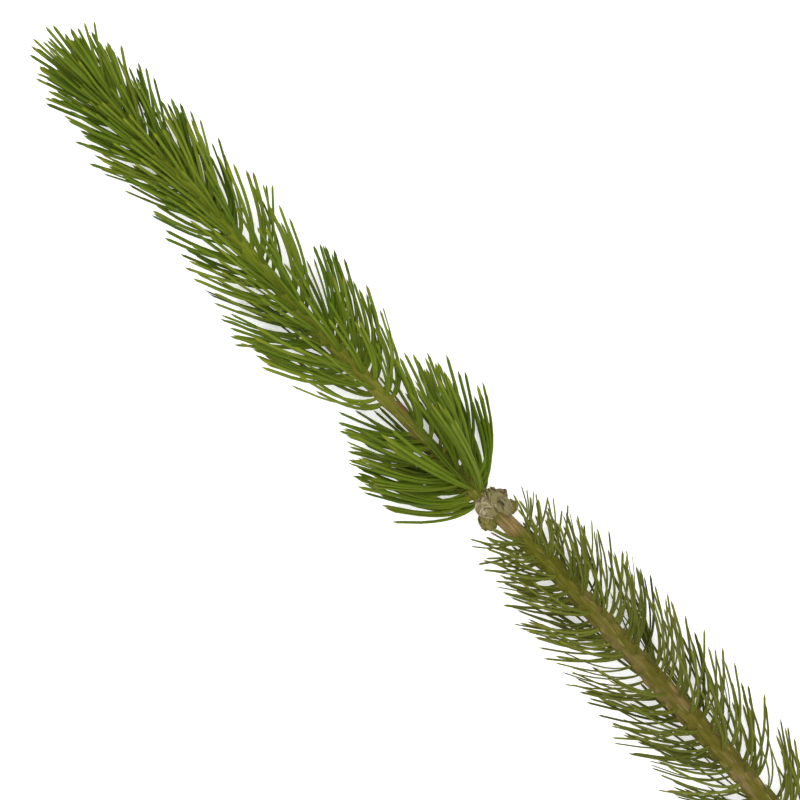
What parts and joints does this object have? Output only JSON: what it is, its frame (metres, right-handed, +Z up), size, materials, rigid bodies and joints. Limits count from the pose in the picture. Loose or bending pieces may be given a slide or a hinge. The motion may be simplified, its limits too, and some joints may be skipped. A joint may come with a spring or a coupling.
{
  "type": "pine branch",
  "caption": "Cut pine branch lying down: one leader with three growths of needles, a bare gap and a collar of dry bud scales, 0.56 m long.",
  "frame": {"origin": "on the surface that the branch lies on, under the middle of its box", "axes": "+X along the branch from its cut end to its tip, +Z up from the surface, +Y to its left side as seen from above"},
  "size_m": [0.5567, 0.0758, 0.0472],
  "materials": {
    "needled_stem": "satin",
    "dry_scales": "matte"
  },
  "bodies": {
    "root": {"needled_stem": "needled_stem", "scale_upper_right": "dry_scales", "bud_upper_left": "dry_scales", "bud_lower_left": "dry_scales", "bud_right_front": "dry_scales", "bud_right_back": "dry_scales", "bud_under_left": "dry_scales", "bud_under_right": "dry_scales"}
  },
  "joints": []
}
